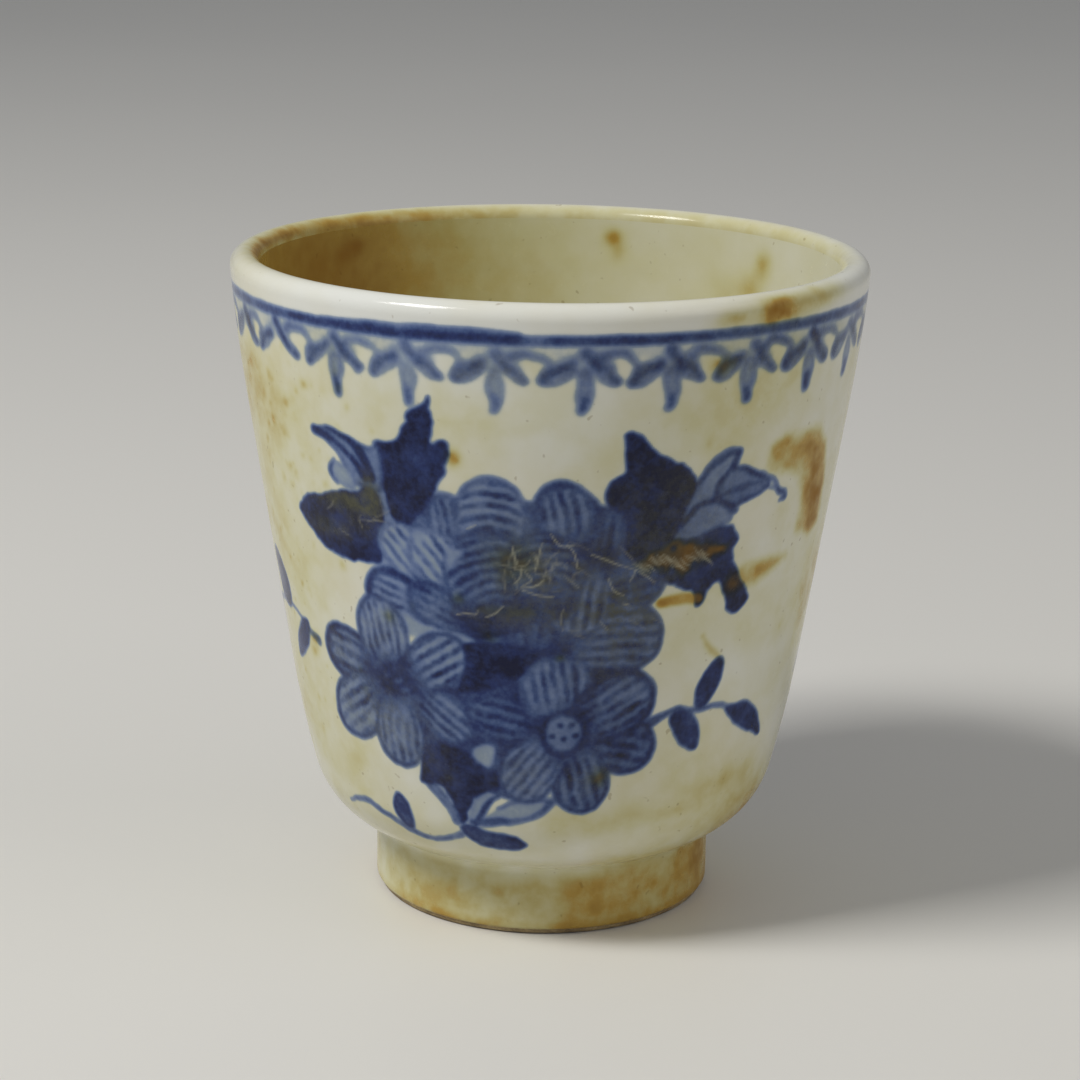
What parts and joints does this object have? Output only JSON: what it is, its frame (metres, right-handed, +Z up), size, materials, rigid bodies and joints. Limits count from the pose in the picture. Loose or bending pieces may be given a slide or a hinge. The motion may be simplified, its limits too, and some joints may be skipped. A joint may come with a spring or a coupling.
{
  "type": "teacup",
  "caption": "Small handleless porcelain teacup: a flared tall bowl with a rounded lip, on a straight turned foot ring, glazed inside, outside and in the foot.",
  "frame": {"origin": "centre of the foot ring's resting plane, on the cup's axis", "axes": "+Z up along the cup's axis, from the foot to the lip; -Y towards the painted front"},
  "size_m": [0.066, 0.066, 0.0689],
  "materials": {
    "porcelain_body": "fired porcelain under the glaze, matt",
    "bare_foot": "bare biscuit edge, fine sandy grain, browned by use",
    "painted_glaze": "clear glaze over brushed cobalt flowers, pale celadon white, with tea stains",
    "inner_glaze": "clear glaze, cream, browned by tea",
    "well_glaze": "clear glaze, cream, dusty"
  },
  "bodies": {
    "root": {"bowl": "porcelain_body", "foot_ring": "bare_foot", "outer_glaze": "painted_glaze", "inner_glaze": "inner_glaze", "well_glaze": "well_glaze"}
  },
  "joints": []
}
